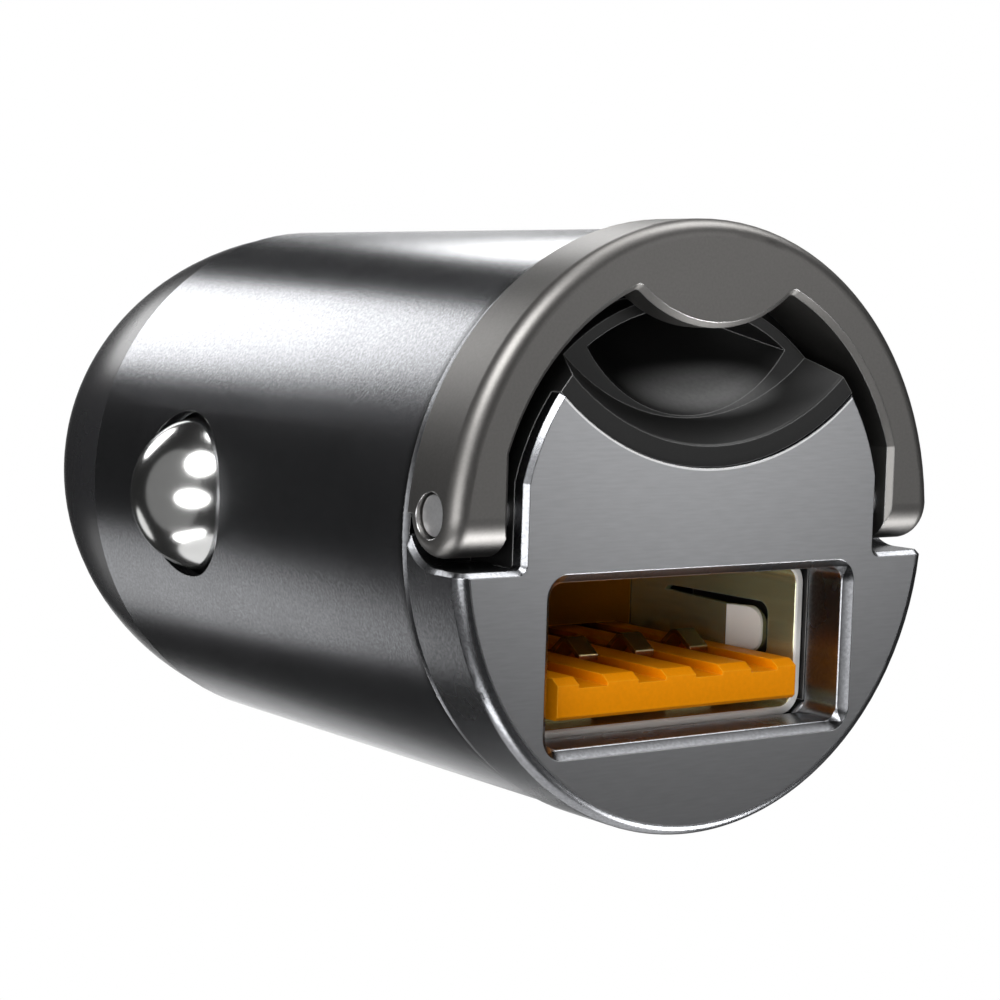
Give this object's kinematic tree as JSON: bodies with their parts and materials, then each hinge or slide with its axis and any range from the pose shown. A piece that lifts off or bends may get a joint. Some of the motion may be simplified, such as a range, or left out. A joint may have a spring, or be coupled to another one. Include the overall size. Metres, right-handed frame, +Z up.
{
  "type": "car usb charger plug",
  "caption": "Round car socket plug with a USB-A port in its face, a folding pull handle over a finger scoop, sprung domed side contacts and a sprung tip.",
  "frame": {"origin": "centre of the front face, on the barrel's axis", "axes": "+Y runs back along the barrel to the tip, +X is to the right as one faces the port, +Z is up, towards the pull handle"},
  "size_m": [0.0244, 0.0426, 0.0214],
  "materials": {
    "gunmetal": "bead blasted and anodised",
    "handle_metal": "satin",
    "pin_steel": "satin",
    "black_plastic": "satin black",
    "nose_plastic": "satin dark grey",
    "orange_plastic": "satin",
    "tinned_steel": "bright",
    "bronze": "bright",
    "board_laminate": "green solder mask",
    "can_aluminium": "bright",
    "chip_plastic": "matt",
    "ferrite": "matt",
    "copper": "enamelled",
    "nickel": "mirror",
    "spring_steel": "bright"
  },
  "bodies": {
    "housing": {"barrel": "gunmetal", "front_cap": "gunmetal", "inner_carrier": "black_plastic", "hinge_pin_left": "pin_steel", "hinge_pin_right": "pin_steel", "usb_shell": "tinned_steel", "usb_tongue": "orange_plastic", "usb_contact_1": "bronze", "usb_contact_2": "bronze", "usb_contact_3": "bronze", "usb_contact_4": "bronze", "main_board": "board_laminate", "input_capacitor": "can_aluminium", "output_capacitor": "can_aluminium", "input_capacitor_base": "black_plastic", "output_capacitor_base": "black_plastic", "controller_chip": "chip_plastic", "inductor_core": "ferrite", "inductor_winding": "copper", "spring_holder_top": "black_plastic", "spring_holder_bottom": "black_plastic", "ground_spring_left": "spring_steel", "ground_spring_right": "spring_steel", "nose_cap": "nose_plastic", "spring_seat": "bronze", "centre_spring": "spring_steel"},
    "handle": {"pull_handle": "handle_metal"},
    "left_contact": {"ground_contact_left": "nickel"},
    "right_contact": {"ground_contact_right": "nickel"},
    "tip": {"centre_contact": "nickel"}
  },
  "joints": [
    {"name": "handle_hinge", "type": "hinge", "parent": "housing", "child": "handle", "pos_m": [0, 0.0014, 0.0008], "axis": [1, 0, 0], "range_deg": [0, 100]},
    {"name": "left_contact_slide", "type": "slide", "parent": "housing", "child": "left_contact", "axis": [1, 0, 0], "range_m": [0, 0.0018], "stiffness_N_per_m": 1500, "springref_m": -0.001, "deforming": ["ground_spring_left"]},
    {"name": "right_contact_slide", "type": "slide", "parent": "housing", "child": "right_contact", "axis": [-1, 0, 0], "range_m": [0, 0.0018], "stiffness_N_per_m": 1500, "springref_m": -0.001, "deforming": ["ground_spring_right"]},
    {"name": "tip_slide", "type": "slide", "parent": "housing", "child": "tip", "axis": [0, -1, 0], "range_m": [0, 0.0025], "stiffness_N_per_m": 1200, "springref_m": -0.0015, "deforming": ["centre_spring"]}
  ]
}
